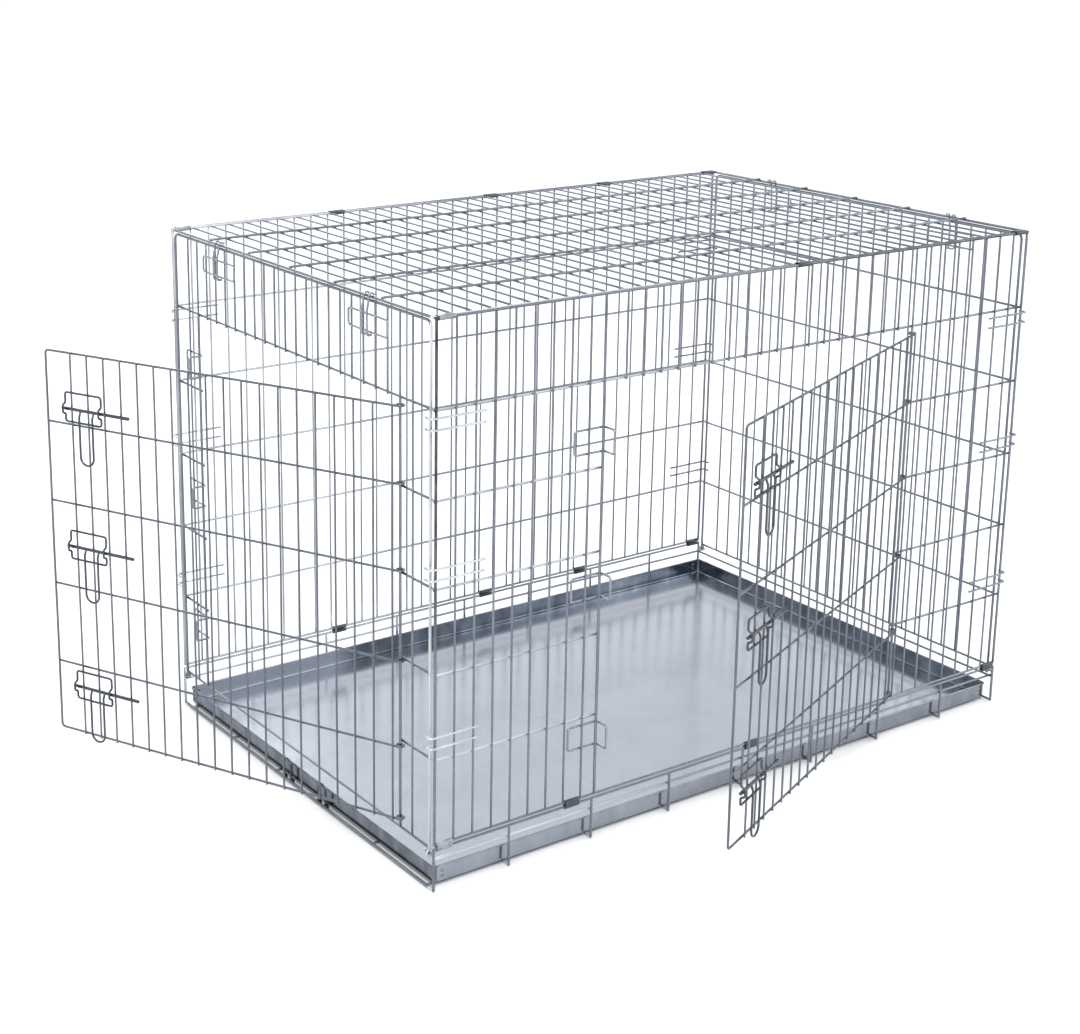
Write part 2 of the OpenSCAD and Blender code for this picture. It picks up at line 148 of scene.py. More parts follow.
class Wirework:
    """Collects swept wires and weld spots in one mesh, through a placing matrix."""

    def __init__(self, place=None):
        self.place = place or Matrix.Identity(4)
        self.verts, self.faces = [], []

    def wire(self, path, radius, closed=False):
        path = self._spaced([self.place @ Vector(p) for p in path], closed)
        count, first = len(path), len(self.verts)
        side = None
        for i, p in enumerate(path):
            if closed:
                ahead, behind = path[(i + 1) % count], path[i - 1]
            else:
                ahead, behind = path[min(i + 1, count - 1)], path[max(i - 1, 0)]
            tangent = (ahead - behind).normalized()
            if side is None:
                side = tangent.orthogonal().normalized()
            side = (side - tangent * side.dot(tangent)).normalized()
            up = tangent.cross(side)
            for s in range(SIDES):
                a = 2 * math.pi * s / SIDES
                self.verts.append(p + radius * (math.cos(a) * side + math.sin(a) * up))
        for i in range(count if closed else count - 1):
            j = (i + 1) % count
            for s in range(SIDES):
                t = (s + 1) % SIDES
                self.faces.append([first + i * SIDES + s, first + i * SIDES + t,
                                   first + j * SIDES + t, first + j * SIDES + s])
        if not closed:
            self._cap(first, path[0] - path[1], flip=True)
            self._cap(first + (count - 1) * SIDES, path[-1] - path[-2], flip=False)

    def _spaced(self, path, closed):
        out = []
        pairs = list(zip(path, path[1:] + path[:1])) if closed else list(zip(path, path[1:]))
        for a, b in pairs:
            n = max(1, math.ceil((b - a).length / SPACING))
            out += [a.lerp(b, k / n) for k in range(n)]
        if not closed:
            out.append(path[-1])
        return out

    def _cap(self, ring, outward, flip):
        """A sheared end: a narrow chamfer and a flat face."""
        loop = list(range(ring, ring + SIDES))
        centre = sum((self.verts[i] for i in loop), Vector()) / SIDES
        radius = (self.verts[ring] - centre).length
        step = outward.normalized() * radius * 0.2
        inner = len(self.verts)
        for i in loop:
            self.verts.append(centre.lerp(self.verts[i], 0.82) + step)
        for s in range(SIDES):
            t = (s + 1) % SIDES
            face = [ring + s, ring + t, inner + t, inner + s]
            self.faces.append(face[::-1] if flip else face)
        end = [inner + s for s in range(SIDES)]
        self.faces.append(end[::-1] if flip else end)

    def spot(self, centre, across, along, out, size):
        """A flattened weld where two wires cross, a rounded button of upset metal."""
        centre = self.place @ Vector(centre)
        turn = self.place.to_3x3()
        axes = [turn @ Vector(v) for v in (across, along, out)]
        inside_out = axes[0].cross(axes[1]).dot(axes[2]) < 0
        rings, sides, first, made = 4, 8, len(self.verts), len(self.faces)
        size = size * rng.uniform(0.85, 1.15)
        for r in range(1, rings):
            lat = math.pi * r / rings
            for s in range(sides):
                a = 2 * math.pi * s / sides
                self.verts.append(centre + size * (
                    math.sin(lat) * math.cos(a) * axes[0] + math.sin(lat) * math.sin(a) * axes[1]
                    + WELD_FLAT * math.cos(lat) * axes[2]))
        top = len(self.verts)
        self.verts += [centre + size * WELD_FLAT * axes[2], centre - size * WELD_FLAT * axes[2]]
        for r in range(rings - 2):
            for s in range(sides):
                t = (s + 1) % sides
                a, b = first + r * sides, first + (r + 1) * sides
                self.faces.append([a + s, b + s, b + t, a + t])
        last = first + (rings - 2) * sides
        for s in range(sides):
            t = (s + 1) % sides
            self.faces.append([top, first + s, first + t])
            self.faces.append([top + 1, last + t, last + s])
        if inside_out:
            self.faces[made:] = [face[::-1] for face in self.faces[made:]]

    def made(self, name, body, nodes, material, slot):
        mesh = bpy.data.meshes.new(name)
        mesh.from_pydata([strayed(v) for v in self.verts], [], self.faces)
        mesh.validate()
        return finished(name, mesh, body, nodes, material)


def strayed(p):
    """A point moved by the slow wander that every straightened wire has."""
    return p + WANDER * Vector(noise.noise_vector(p * WANDER_SCALE))


def finished(name, mesh, body, nodes, material):
    obj = bpy.data.objects.new(name, mesh)
    bpy.context.scene.collection.objects.link(obj)
    mesh.polygons.foreach_set("use_smooth", [True] * len(mesh.polygons))
    mesh.materials.append(material)
    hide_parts(*nodes)
    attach(obj, body)
    return obj


# ---- materials ----


CLOUD_SCALE = 14.0
CLOUD_SHARE, GRAIN_SHARE = 0.55, 0.45
BUMP_DEPTH = 0.3 * MM
X, Y, Z = 0, 1, 2


def zinc(name, colour, rough, speckle=260.0, bump=0.12, blotch=0.10):
    """Zinc plating: slow cloudy patches, fine crystals and a roughness that follows them."""
    mat = bpy.data.materials.new(name)
    mat.use_nodes = True
    tree = mat.node_tree
    tree.nodes.clear()
    new, link = tree.nodes.new, tree.links.new
    out, shader = new("ShaderNodeOutputMaterial"), new("ShaderNodeBsdfPrincipled")
    link(shader.outputs[0], out.inputs[0])
    shader.inputs["Metallic"].default_value = 1.0
    where = new("ShaderNodeTexCoord")
    cloud, grain = new("ShaderNodeTexNoise"), new("ShaderNodeTexNoise")
    for node, scale, detail in ((cloud, CLOUD_SCALE, 4.0), (grain, speckle, 3.0)):
        node.inputs["Scale"].default_value = scale
        node.inputs["Detail"].default_value = detail
        link(where.outputs["Object"], node.inputs["Vector"])
    mixed = new("ShaderNodeMath")
    mixed.operation = "MULTIPLY_ADD"
    mixed.inputs[1].default_value = CLOUD_SHARE
    link(cloud.outputs[0], mixed.inputs[0])
    fine = new("ShaderNodeMath")
    fine.operation = "MULTIPLY"
    fine.inputs[1].default_value = GRAIN_SHARE
    link(grain.outputs[0], fine.inputs[0])
    link(fine.outputs[0], mixed.inputs[2])
    ramp = new("ShaderNodeValToRGB")
    dark = [c * (1 - 2.2 * blotch) for c in colour]
    light = [min(1.0, c * (1 + blotch)) for c in colour]
    ramp.color_ramp.elements[0].position = 0.32
    ramp.color_ramp.elements[0].color = (*dark, 1)
    ramp.color_ramp.elements[1].position = 0.68
    ramp.color_ramp.elements[1].color = (*light, 1)
    link(mixed.outputs[0], ramp.inputs[0])
    link(ramp.outputs[0], shader.inputs["Base Color"])
    spread = new("ShaderNodeMapRange")
    spread.inputs["To Min"].default_value = rough * 0.7
    spread.inputs["To Max"].default_value = rough * 1.4
    link(mixed.outputs[0], spread.inputs["Value"])
    link(spread.outputs[0], shader.inputs["Roughness"])
    raised = new("ShaderNodeBump")
    raised.inputs["Strength"].default_value = bump
    raised.inputs["Distance"].default_value = BUMP_DEPTH
    link(grain.outputs[0], raised.inputs["Height"])
    link(raised.outputs[0], shader.inputs["Normal"])
    return mat


def painted_light_blend(mat, amount, tones, scale, squash=1.0):
    """Paints light or shade into the zinc: blends it into another pair of tones, by the share that
    amount builds.

    amount(share, joined) gets two helpers: share(axis, start, end) makes a value that goes
    from 0 to 1 between two places on an axis, and joined combines two such values.
    """
    tree = mat.node_tree
    new, link = tree.nodes.new, tree.links.new
    shader = next(n for n in tree.nodes if n.type == "BSDF_PRINCIPLED")
    own_zinc_colour = shader.inputs["Base Color"].links[0].from_socket
    where, split = new("ShaderNodeTexCoord"), new("ShaderNodeSeparateXYZ")
    link(where.outputs["Object"], split.inputs[0])

    def share(axis, start, end, low_share=0.0, high_share=1.0):
        node = new("ShaderNodeMapRange")
        values = {"From Min": start, "From Max": end, "To Min": low_share, "To Max": high_share}
        for name, value in values.items():
            node.inputs[name].default_value = value
        link(split.outputs[axis], node.inputs["Value"])
        return node.outputs[0]

    def joined(operation, a, b):
        node = new("ShaderNodeMath")
        node.operation = operation
        link(a, node.inputs[0])
        link(b, node.inputs[1])
        return node.outputs[0]

    stretch, clouds = new("ShaderNodeMapping"), new("ShaderNodeTexNoise")
    stretch.inputs["Scale"].default_value = (1.0, 1.0, squash)
    link(where.outputs["Object"], stretch.inputs["Vector"])
    link(stretch.outputs[0], clouds.inputs["Vector"])
    clouds.inputs["Scale"].default_value = scale
    clouds.inputs["Detail"].default_value = 5.0
    ramp, mix = new("ShaderNodeValToRGB"), new("ShaderNodeMix")
    for element, place, colour in zip(ramp.color_ramp.elements, (0.35, 0.70), tones):
        element.position, element.color = place, (*colour, 1)
    link(clouds.outputs[0], ramp.inputs[0])
    mix.data_type = "RGBA"  # its colour sockets are inputs 6 and 7 and output 2
    link(amount(share, joined), mix.inputs[0])
    link(own_zinc_colour, mix.inputs[6])
    link(ramp.outputs[0], mix.inputs[7])
    link(mix.outputs[2], shader.inputs["Base Color"])


# where a painted light or shade tone sets in, in metres: its least share up to the first number,
# its most from the second
BACK_WALL_Y, FRONT_WALL_Y = (0.3390, 0.3405), (-0.3415, -0.3430)
END_WALL_X = (0.5280, 0.5300)
BACK_WALL_X, FRONT_WALL_X = (-0.27, -0.23), (-0.45, 0.54)
RAIL_OUTSIDE_Y, RAIL_INSIDE_Y = (0.3541, 0.3536), (0.3450, 0.3460)
RAIL_FRONT_INSIDE_Y = (-0.3440, -0.3450)
RAIL_X = (0.0, -0.30)
TOP_RAIL_Y, TOP_RAIL_X, TOP_RAIL_Z = (-0.3490, -0.3500), (-0.05, 0.20), (0.7670, 0.7675)
POST_Y, POST_Z, POST_X = (-0.3520, -0.3525), (0.30, 0.42), (-0.5370, -0.5375)
LEFT_CORNER_X = (-0.44, -0.48)


def painted_pan_wall_shade(share, joined):
    """Painted shade on the pan's walls, mottled: the back, both ends, and the front more to the
    right.
    """
    back = joined("MULTIPLY", share(Y, *BACK_WALL_Y), share(X, *BACK_WALL_X, 0.15, 0.95))
    left = share(X, *(-x for x in END_WALL_X))
    right = share(X, *END_WALL_X, 0.0, 0.92)
    front = joined("MULTIPLY", share(Y, *FRONT_WALL_Y), share(X, *FRONT_WALL_X, 0.50, 0.75))
    return joined("MAXIMUM", joined("MAXIMUM", back, right), joined("MAXIMUM", left, front))


def painted_rail_highlight(share, joined):
    """A painted highlight: the left part of the front and back rails is brighter than the
    uprights.
    """
    front = joined("MULTIPLY", share(Y, *(-y for y in RAIL_OUTSIDE_Y)),
                   share(Y, *RAIL_FRONT_INSIDE_Y))
    back = joined("MULTIPLY", share(Y, *RAIL_INSIDE_Y), share(Y, *RAIL_OUTSIDE_Y))
    return joined("MULTIPLY", joined("MAXIMUM", front, back), share(X, *RAIL_X))


def painted_shade_runs(share, joined):
    """Painted shade: the right part of the front top rail and the upper front left post are
    darker.
    """
    rail = joined("MULTIPLY", joined("MULTIPLY", share(Y, *TOP_RAIL_Y), share(X, *TOP_RAIL_X)),
                  share(Z, *TOP_RAIL_Z))
    post = joined("MULTIPLY", joined("MULTIPLY", share(Y, *POST_Y), share(Z, *POST_Z)),
                  share(X, *POST_X))
    return joined("MAXIMUM", rail, post)


def left_corner(share, joined):
    """Everything at the left corners catches the light."""
    return share(X, *LEFT_CORNER_X)


# dark and light tone of each painted light or shade blend
RAIL_TONES = ((0.38, 0.40, 0.43), (0.66, 0.68, 0.71))
DARK_TONES = ((0.05, 0.055, 0.065), (0.12, 0.13, 0.145))
HOOK_TONES = ((0.48, 0.50, 0.53), (0.72, 0.74, 0.77))
SLEEVE_TONES = ((0.20, 0.21, 0.235), (0.40, 0.42, 0.45))
WALL_TONES = ((0.085, 0.10, 0.123), (0.205, 0.23, 0.27))

# painted light and shade blended into the zinc: a painted highlight on the rails' left part and on
# hooks and sleeves at the left corners; painted shade on the front top rail's right part, the
# upper front left post and the pan's walls
PANEL_ZINC = zinc("panel_zinc", (0.195, 0.215, 0.250), 0.30, blotch=0.16)
painted_light_blend(PANEL_ZINC, painted_rail_highlight, RAIL_TONES, scale=7.0)
painted_light_blend(PANEL_ZINC, painted_shade_runs, DARK_TONES, scale=60.0)
DOOR_ZINC = zinc("door_zinc", (0.150, 0.165, 0.192), 0.30, blotch=0.16)
BENT_ZINC = zinc("bent_zinc", (0.29, 0.31, 0.345), 0.26)
HOOK_ZINC = zinc("hook_zinc", (0.20, 0.215, 0.24), 0.26)
painted_light_blend(HOOK_ZINC, left_corner, HOOK_TONES, scale=20.0)
BOLT_ZINC = zinc("bolt_zinc", (0.085, 0.092, 0.108), 0.26)
SLEEVE_ZINC = zinc("sleeve_zinc", (0.085, 0.092, 0.105), 0.36)
painted_light_blend(SLEEVE_ZINC, left_corner, SLEEVE_TONES, scale=90.0)
PAN_ZINC = zinc("pan_zinc", (0.450, 0.482, 0.540), 0.17, speckle=55.0, bump=0.012, blotch=0.02)
painted_light_blend(PAN_ZINC, painted_pan_wall_shade, WALL_TONES, scale=45.0, squash=0.45)
RIVET_ZINC = zinc("rivet_zinc", (0.25, 0.26, 0.28), 0.35)

# ---- panel frames: x along the panel, y towards the inside, z up ----


def turned(x, y, degrees):
    return Matrix.Translation((x, y, 0)) @ Matrix.Rotation(math.radians(degrees), 4, "Z")


FRONT = turned(0, -HALF_W, 0)
BACK = turned(0, HALF_W, 180)
LEFT = turned(-END_X, 0, -90)
RIGHT = turned(END_X, 0, 90)
ALONG, IN, UP = Vector((1, 0, 0)), Vector((0, 1, 0)), Vector((0, 0, 1))


def bar_xs(first, last):
    return [k * BAR_PITCH for k in range(first, last + 1)]


def front_xs(first, last):
    """The front's uprights: the one at the doorway's left stands a little further out."""
    return [OPENING_LEFT if k == LATCH_BAR else k * BAR_PITCH for k in range(first, last + 1)]


def end_xs(first, last):
    return [(k + 0.5) * END_PITCH for k in range(first, last + 1)]


END_BARS = end_xs(-11, 10)


def bars(work, xs, bottom, top, radius, y=0.0):
    for x in xs:
        work.wire([(x, y, bottom), (x, y, top)], radius)


def rails(work, zs, left, right, radius, y=0.0):
    for z in zs:
        work.wire([(left, y, z), (right, y, z)], radius)


WELD_DEPTH = 0.46  # how far a weld stands from the upright to the rail


def welds(work, xs, zs, y):
    """Weld spots between uprights at y = 0 and rails whose centre is at y."""
    for x in xs:
        for z in zs:
            work.spot((x, y * WELD_DEPTH, z), ALONG, UP, IN, WELD_SIZE)


# ---- base ----

CROSS_PITCH, LONG_PITCH = 0.14, 0.134
CROSS_X = [k * CROSS_PITCH for k in range(-3, 4)]
CROSS_Z = 4.5 * MM
LONG_Y = [k * LONG_PITCH for k in (-2.5, -1.5, -0.5, 0.5, 1.5, 2.5)]
LONG_R = 1.5 * MM
END_WIRE_Z = 4 * MM
LOWER_RAIL_Z = 46 * MM
LOWER_RAIL_Y = 2 * CROSS_R - WELD
PAST = 0.6  # how far an upright runs past the wire under it, in its own radius
PIN_L = 17.5 * MM

floor_grid = Wirework()
for x in CROSS_X:
    floor_grid.wire([(x, -HALF_W, CROSS_Z), (x, HALF_W, CROSS_Z)], CROSS_R)
for y in LONG_Y:
    floor_grid.wire([(-END_X, y, LONG_R), (END_X, y, LONG_R)], LONG_R)
    for x in CROSS_X:
        floor_grid.spot((x, y, 2 * LONG_R), ALONG, IN, UP, WELD_SIZE)
for x in (-END_X, END_X):
    floor_grid.wire([(x, -HALF_W, END_WIRE_Z), (x, HALF_W, END_WIRE_Z)], FRAME_R)
floor_grid.made("floor_wires", "cage", ["base_floor_grid"], PANEL_ZINC, "panel_wire")

for name, node, place in (("base_front_wires", "base_front_rail", FRONT),
                          ("base_back_wires", "base_back_rail", BACK)):
    side = Wirework(place)
    for x in CROSS_X:
        side.wire([(x, 0, CROSS_Z - CROSS_R * PAST), (x, 0, BASE_RAIL_Z)], CROSS_R)
    for x in (-END_X, END_X):
        side.wire([(x, 0, END_WIRE_Z - FRAME_R * PAST), (x, 0, BASE_RAIL_Z)], FRAME_R)
    rails(side, [BASE_RAIL_Z], -END_X, END_X, RAIL_R)
    rails(side, [LOWER_RAIL_Z], -END_X, END_X, CROSS_R, LOWER_RAIL_Y)
    welds(side, CROSS_X, [LOWER_RAIL_Z], LOWER_RAIL_Y)
    side.made(name, "cage", [node], PANEL_ZINC, "panel_wire")

right_rail = Wirework()
rail_z = middle("base_right_rail", "z")
right_rail.wire([(END_X, -HALF_W, rail_z), (END_X, HALF_W, rail_z)], CROSS_R)
right_rail.made("right_rail_wire", "cage", ["base_right_rail"], PANEL_ZINC, "panel_wire")

pivots = Wirework()
for x in (-END_X, END_X):
    for y in (-1, 1):
        pivots.wire([(x, y * HALF_W, FOLD_Z), (x, y * (HALF_W - PIN_L), FOLD_Z)], RAIL_R)
pivots.made("fold_pins", "cage", ["base_corner_pivots"], BENT_ZINC, "panel_wire")

# ---- front, back and top panels ----

BAR_START = FOOT_Z + 0.4 * MM
FRONT_RAILS = LEVELS[:-1]

header = Wirework(FRONT)
bars(header, front_xs(1 - LAST_BAR, LAST_BAR - 1), SPLIT_Z, TOP_Z, BAR_R)
bars(header, [-HALF_L, HALF_L], SPLIT_Z, TOP_Z, FRAME_R)
rails(header, [TOP_Z], -HALF_L - FRAME_R, HALF_L + FRAME_R, FRAME_R)
rails(header, [LEVELS[-1]], -HALF_L - MM, HALF_L + MM, RAIL_R, RAIL_Y)
welds(header, front_xs(-LAST_BAR, LAST_BAR), [LEVELS[-1]], RAIL_Y)
header.made("front_header_wires", "cage", ["front_panel_header"], PANEL_ZINC, "panel_wire")

for name, node, first, last in (
        ("front_left_wires", "front_panel_left", -LAST_BAR, LATCH_BAR),
        ("front_right_wires", "front_panel_right", HINGE_BAR, LAST_BAR)):
    part = Wirework(FRONT)
    xs = front_xs(first, last)
    bars(part, xs[1:-1], BAR_START, SPLIT_Z, BAR_R)
    bars(part, [xs[0], xs[-1]], BAR_START, SPLIT_Z, FRAME_R)
    rails(part, FRONT_RAILS, xs[0] - MM, xs[-1] + MM, RAIL_R, RAIL_Y)
    welds(part, xs, FRONT_RAILS, RAIL_Y)
    part.made(name, "cage", [node], PANEL_ZINC, "panel_wire")

sill = Wirework(FRONT)
rails(sill, [FOOT_Z], -HALF_L, HALF_L, RAIL_R)
sill.made("front_sill_wire", "cage", ["front_panel_sill"], PANEL_ZINC, "panel_wire")

back = Wirework(BACK)
bars(back, bar_xs(1 - LAST_BAR, LAST_BAR - 1), FOOT_Z, TOP_Z, BAR_R)
bars(back, [-HALF_L, HALF_L], FOOT_Z, TOP_Z, FRAME_R)
rails(back, [FOOT_Z], -HALF_L - MM, HALF_L + MM, RAIL_R)
rails(back, [TOP_Z], -HALF_L - FRAME_R, HALF_L + FRAME_R, FRAME_R)
rails(back, LEVELS, -HALF_L - MM, HALF_L + MM, RAIL_R, RAIL_Y)
welds(back, bar_xs(-LAST_BAR, LAST_BAR), LEVELS, RAIL_Y)
back.made("back_wires", "cage", ["back_panel"], PANEL_ZINC, "panel_wire")

TOP_SIDE = high("top_panel", "y") - RAIL_R
top = Wirework()
top_rail_z = TOP_Z + BAR_R + CROSS_R - WELD
top_rail_ys = [2 * TOP_SIDE * k / CELLS for k in range(-2, 3)]
for x in bar_xs(1 - LAST_BAR, LAST_BAR - 1):
    top.wire([(x, -TOP_SIDE, TOP_Z), (x, TOP_SIDE, TOP_Z)], BAR_R)
    for y in top_rail_ys:
        top.spot((x, y, (TOP_Z + top_rail_z) / 2), ALONG, IN, UP, WELD_SIZE)
for y in top_rail_ys:
    top.wire([(-END_X, y, top_rail_z), (END_X, y, top_rail_z)], CROSS_R)
for y in (-TOP_SIDE, TOP_SIDE):
    top.wire([(-END_X, y, TOP_Z), (END_X, y, TOP_Z)], RAIL_R)
for x in (-END_X, END_X):
    top.wire([(x, -TOP_SIDE - RAIL_R, TOP_Z), (x, TOP_SIDE + RAIL_R, TOP_Z)], FRAME_R)
top.made("top_wires", "cage", ["top_panel"], PANEL_ZINC, "panel_wire")

# ---- sheet-metal sleeves ----

SLEEVE_L = 24 * MM
SLEEVE_IN = RAIL_R + 0.6 * MM
SLEEVE_OUT = SLEEVE_IN + SHEET
SEAM = 1.2 * MM


def slot_outline(radius, apart):
    """A slot's outline from one side of its seam round to the other: (y, z) points."""
    points = [(apart / 2 - SEAM / 2, radius)]
    points += [(radius * math.cos(a), radius * math.sin(a))
               for a in (math.radians(90 + 15 * k) for k in range(13))]
    points += [(apart + radius * math.cos(a), radius * math.sin(a))
               for a in (math.radians(-90 + 15 * k) for k in range(13))]
    points.append((apart / 2 + SEAM / 2, radius))
    return points


def sleeves(name, node, places, apart):
    """One rolled sleeve of sheet at each place, a matrix that puts its slot round the wires."""
    inner, outer = slot_outline(SLEEVE_IN, apart), slot_outline(SLEEVE_OUT, apart)
    outline = outer + inner[::-1]
    n, verts, faces = len(outline), [], []
    for place in places:
        first = len(verts)
        for x in (-SLEEVE_L / 2, SLEEVE_L / 2):
            verts += [place @ Vector((x, y, z)) for y, z in outline]
        for k in range(n):
            j = (k + 1) % n
            faces.append([first + k, first + j, first + n + j, first + n + k])
        half = len(outer)
        for k in range(half - 1):
            j, a, b = k + 1, n - 1 - k, n - 2 - k
            faces.append([first + k, first + a, first + b, first + j])
            faces.append([first + n + k, first + n + j, first + n + b, first + n + a])
    mesh = bpy.data.meshes.new(name)
    mesh.from_pydata([strayed(v) for v in verts], [], faces)
    obj = finished(name, mesh, "cage", [node], SLEEVE_ZINC)
    edge = obj.modifiers.new("rolled_edge", "BEVEL")
    edge.width, edge.segments, edge.limit_method = 0.2 * MM, 2, "ANGLE"
    return obj


# places along the cage, in bar spacings from its middle
SLEEVE_KS = {
    "front_bottom_sleeves": (-17.5, -10.5, 0.5, 17.5),
    "back_bottom_sleeves": (-8.5, 1.5, 8.5, 17.5),
    "front_top_sleeves": (-17.5, 2.5, 17.5),
    "back_top_sleeves": (-17.5, -8.5, 1.5, 9.5, 17.5),
}
AT_FOOT = (0, FOOT_Z, -math.pi / 2, FOOT_Z - BASE_RAIL_Z)
AT_TOP = (HALF_W - TOP_SIDE, TOP_Z, math.pi, HALF_W - TOP_SIDE)

for node, side, flip, (y, z, turn, apart) in (
        ("front_bottom_sleeves", FRONT, 1, AT_FOOT), ("back_bottom_sleeves", BACK, -1, AT_FOOT),
        ("front_top_sleeves", FRONT, 1, AT_TOP), ("back_top_sleeves", BACK, -1, AT_TOP)):
    round_wires = Matrix.Rotation(turn, 4, "X")
    sleeves(node.replace("sleeves", "clasps"), node,
            [side @ Matrix.Translation((flip * k * BAR_PITCH, y, z)) @ round_wires
             for k in SLEEVE_KS[node]], apart)

# ---- corner hooks ----

HOOK_Z = (213 * MM, 441 * MM, 637 * MM)
HOOK_GAP = 15 * MM
HOOK_L = 82 * MM
HOOK_INWARD = 10 * MM
HOOK_BEND = 4 * MM
hook_y = -(BAR_R + HOOK_R - WELD)
hook_tip = -END_X - 8 * MM

for name, node, flip in (("front_left_curls", "front_left_hooks", (1, 1)),
                         ("front_right_curls", "front_right_hooks", (-1, 1)),
                         ("back_left_curls", "back_left_hooks", (1, -1)),
                         ("back_right_curls", "back_right_hooks", (-1, -1))):
    hooks = Wirework(Matrix.Diagonal((*flip, 1, 1)) @ FRONT)
    for z in [z + side * HOOK_GAP for z in HOOK_Z for side in (-0.5, 0.5)]:
        hooks.wire(rounded([(hook_tip + HOOK_L, -BAR_R, z), (hook_tip + HOOK_L, hook_y, z),
                            (hook_tip, hook_y, z), (hook_tip, HOOK_INWARD, z)], HOOK_BEND), HOOK_R)
        for x in bar_xs(-LAST_BAR, 2 - LAST_BAR):
            hooks.spot((x, hook_y * 0.5, z), ALONG, UP, IN, SMALL_WELD)
    hooks.made(name, "cage", [node], HOOK_ZINC, "bent_wire")

# ---- keepers ----

KEEPER_LOW, KEEPER_HIGH = -7 * MM, 26 * MM
KEEPER_OUT = 19 * MM
KEEPER_FLAT = 49 * MM
KEEPER_BEND = 4 * MM


def keepers(name, body, node, place, latch_x):
    """Three closed loops beside the doorway's latch upright, one for each bolt."""
    work = Wirework(place)
    y = BAR_R + HOOK_R - WELD
    out_x = latch_x + FRAME_R + HOOK_R - 0.2 * MM
    for z in BOLT_Z:
        corners = []
        for dz, order in ((KEEPER_LOW, 1), (KEEPER_HIGH, -1)):
            line = [(out_x - KEEPER_FLAT, y), (out_x - 1.5 * MM, y), (out_x, y - 2 * MM),
                    (out_x, -KEEPER_OUT)][::order]
            corners += [(px, py, z + dz) for px, py in line]
        seam = Vector(corners[0]).lerp(Vector(corners[1]), 0.5)
        work.wire(rounded([seam, *corners[1:], corners[0], seam], KEEPER_BEND)[:-1], HOOK_R,
                  closed=True)
    work.made(name, body, [node], BENT_ZINC, "bent_wire")


keepers("front_keeper_loops", "cage", "front_keepers", FRONT, OPENING_LEFT)
keepers("end_keeper_loops", "left_end", "end_keepers", LEFT, -END_OPENING)

# ---- end panels ----

EYE_R = RAIL_R + 0.5 * MM + HOOK_R
END_CORNER = 10 * MM


def eye(work, x):
    """The curl of an end panel's corner upright round its fold pin."""
    work.wire(ring_path((x, 0, FOLD_Z), EYE_R, 0, 360, IN, UP, 28)[:-1], HOOK_R, closed=True)


def end_frame(work, bottom):
    """Both corner uprights and the top rail, bent from one wire."""
    work.wire(rounded([(-END_HALF, 0, bottom), (-END_HALF, 0, END_TOP), (END_HALF, 0, END_TOP),
                       (END_HALF, 0, bottom)], END_CORNER, 8), FRAME_R)


header = Wirework(LEFT)
bars(header, END_BARS, SPLIT_Z, END_TOP, BAR_R)
end_frame(header, SPLIT_Z)
rails(header, [LEVELS[-1]], -END_HALF - MM, END_HALF + MM, RAIL_R, RAIL_Y)
welds(header, END_BARS + [-END_HALF, END_HALF], [LEVELS[-1]], RAIL_Y)
header.made("left_header_wires", "left_end", ["left_end_header"], PANEL_ZINC, "panel_wire")

for name, node, flip in (("left_front_strip_wires", "left_end_front_strip", 1),
                         ("left_back_strip_wires", "left_end_back_strip", -1)):
    strip = Wirework(LEFT @ Matrix.Diagonal((flip, 1, 1, 1)))
    bars(strip, [END_OPENING + END_PITCH], END_FOOT, SPLIT_Z, BAR_R)
    bars(strip, [END_OPENING], END_FOOT, SPLIT_Z, FRAME_R)
    bars(strip, [END_HALF], FOLD_Z + EYE_R, SPLIT_Z, FRAME_R)
    rails(strip, FRONT_RAILS, END_OPENING - MM, END_HALF + MM, RAIL_R, RAIL_Y)
    welds(strip, [END_OPENING, END_OPENING + END_PITCH, END_HALF], FRONT_RAILS, RAIL_Y)
    eye(strip, END_HALF)
    strip.made(name, "left_end", [node], PANEL_ZINC, "panel_wire")

sill = Wirework(LEFT)
rails(sill, [END_FOOT], -END_HALF, END_HALF, RAIL_R)
sill.made("left_sill_wire", "left_end", ["left_end_sill"], PANEL_ZINC, "panel_wire")

right = Wirework(RIGHT)
bars(right, END_BARS, END_FOOT, END_TOP, BAR_R)
end_frame(right, FOLD_Z + EYE_R)
rails(right, [END_FOOT], -END_HALF, END_HALF, RAIL_R)
rails(right, LEVELS, -END_HALF - MM, END_HALF + MM, RAIL_R, RAIL_Y)
welds(right, END_BARS + [-END_HALF, END_HALF], LEVELS, RAIL_Y)
eye(right, -END_HALF)
eye(right, END_HALF)
right.made("right_end_wires", "right_end", ["right_end_panel"], PANEL_ZINC, "panel_wire")

# ---- clips and the loops they snap under ----

CLIP_R = 1.5 * MM
CLIP_Y = 7 * END_PITCH
CLIP_W = 12 * MM
CLIP_RING = 4.6 * MM
CLIP_OUT = 7.5 * MM
CLIP_FOOT = TOP_Z - 50 * MM
LOOP_Z = (TOP_Z - 45.5 * MM, TOP_Z - 22.5 * MM)
LOOP_W = 94 * MM
LOOP_BEND, CLIP_BEND = 5 * MM, 3 * MM
CLIP_TANGENT, CLIP_SHOULDER = TOP_Z - 4 * MM, TOP_Z - 18 * MM

for name, node, body, place in (("left_catch_loops", "left_clip_loops", "left_end", LEFT),
                                ("right_catch_loops", "right_clip_loops", "right_end", RIGHT)):
    loops = Wirework(place)
    y = -(BAR_R + CLIP_R - WELD)
    for x in (-CLIP_Y, CLIP_Y):
        a, b = x - LOOP_W / 2, x + LOOP_W / 2
        path = [(x, y, LOOP_Z[0]), (b, y, LOOP_Z[0]), (b, y, LOOP_Z[1]), (a, y, LOOP_Z[1]),
                (a, y, LOOP_Z[0]), (x, y, LOOP_Z[0])]
        loops.wire(rounded(path, LOOP_BEND)[:-1], CLIP_R, closed=True)
    loops.made(name, body, [node], BENT_ZINC, "bent_wire")

